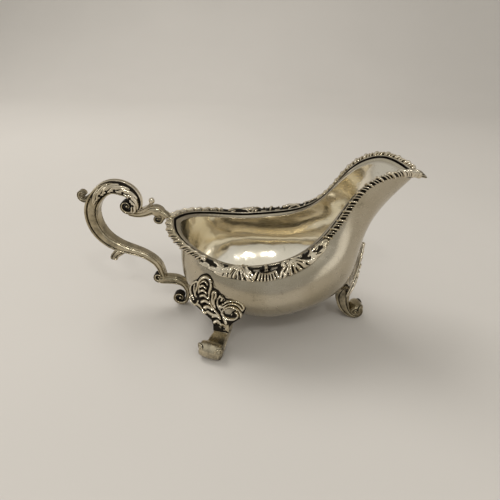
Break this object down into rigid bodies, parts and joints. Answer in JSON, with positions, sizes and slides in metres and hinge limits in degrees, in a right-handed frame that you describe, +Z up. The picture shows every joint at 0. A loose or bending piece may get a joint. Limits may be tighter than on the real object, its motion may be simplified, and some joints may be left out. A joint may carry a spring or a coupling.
{
  "type": "sauce boat",
  "caption": "Oval footed sauce boat with a tall spout, gadroon border, leaf-capped scroll handle and scroll-toed legs with leaf headers.",
  "frame": {"origin": "on the ground, below the middle of the overall box", "axes": "+X towards the spout, -X towards the handle, +Z up, +Y the far flank"},
  "size_m": [0.2156, 0.116, 0.1128],
  "materials": {
    "bowl_silver": "satin polished silver",
    "scroll_silver": "polished silver with light tarnish",
    "cast_silver": "chased silver with dark patina in the hollows"
  },
  "bodies": {
    "root": {"body_bowl": "bowl_silver", "handle_scroll": "scroll_silver", "handle_upper_bracket": "scroll_silver", "handle_lower_bracket": "scroll_silver", "gadroon_near_aft": "cast_silver", "gadroon_far_aft": "cast_silver", "gadroon_near_fore": "cast_silver", "gadroon_far_fore": "cast_silver", "shell_mount_near": "cast_silver", "shell_mount_far": "cast_silver", "spout_tip_leaf": "cast_silver", "handle_leaf_cap": "cast_silver", "handle_thumb_spur": "cast_silver", "handle_lower_spur": "cast_silver", "handle_bracket_bud": "cast_silver", "foot_spout": "cast_silver", "foot_near": "cast_silver", "foot_far": "cast_silver", "header_spout": "cast_silver", "header_near": "cast_silver", "header_far": "cast_silver"}
  },
  "joints": []
}
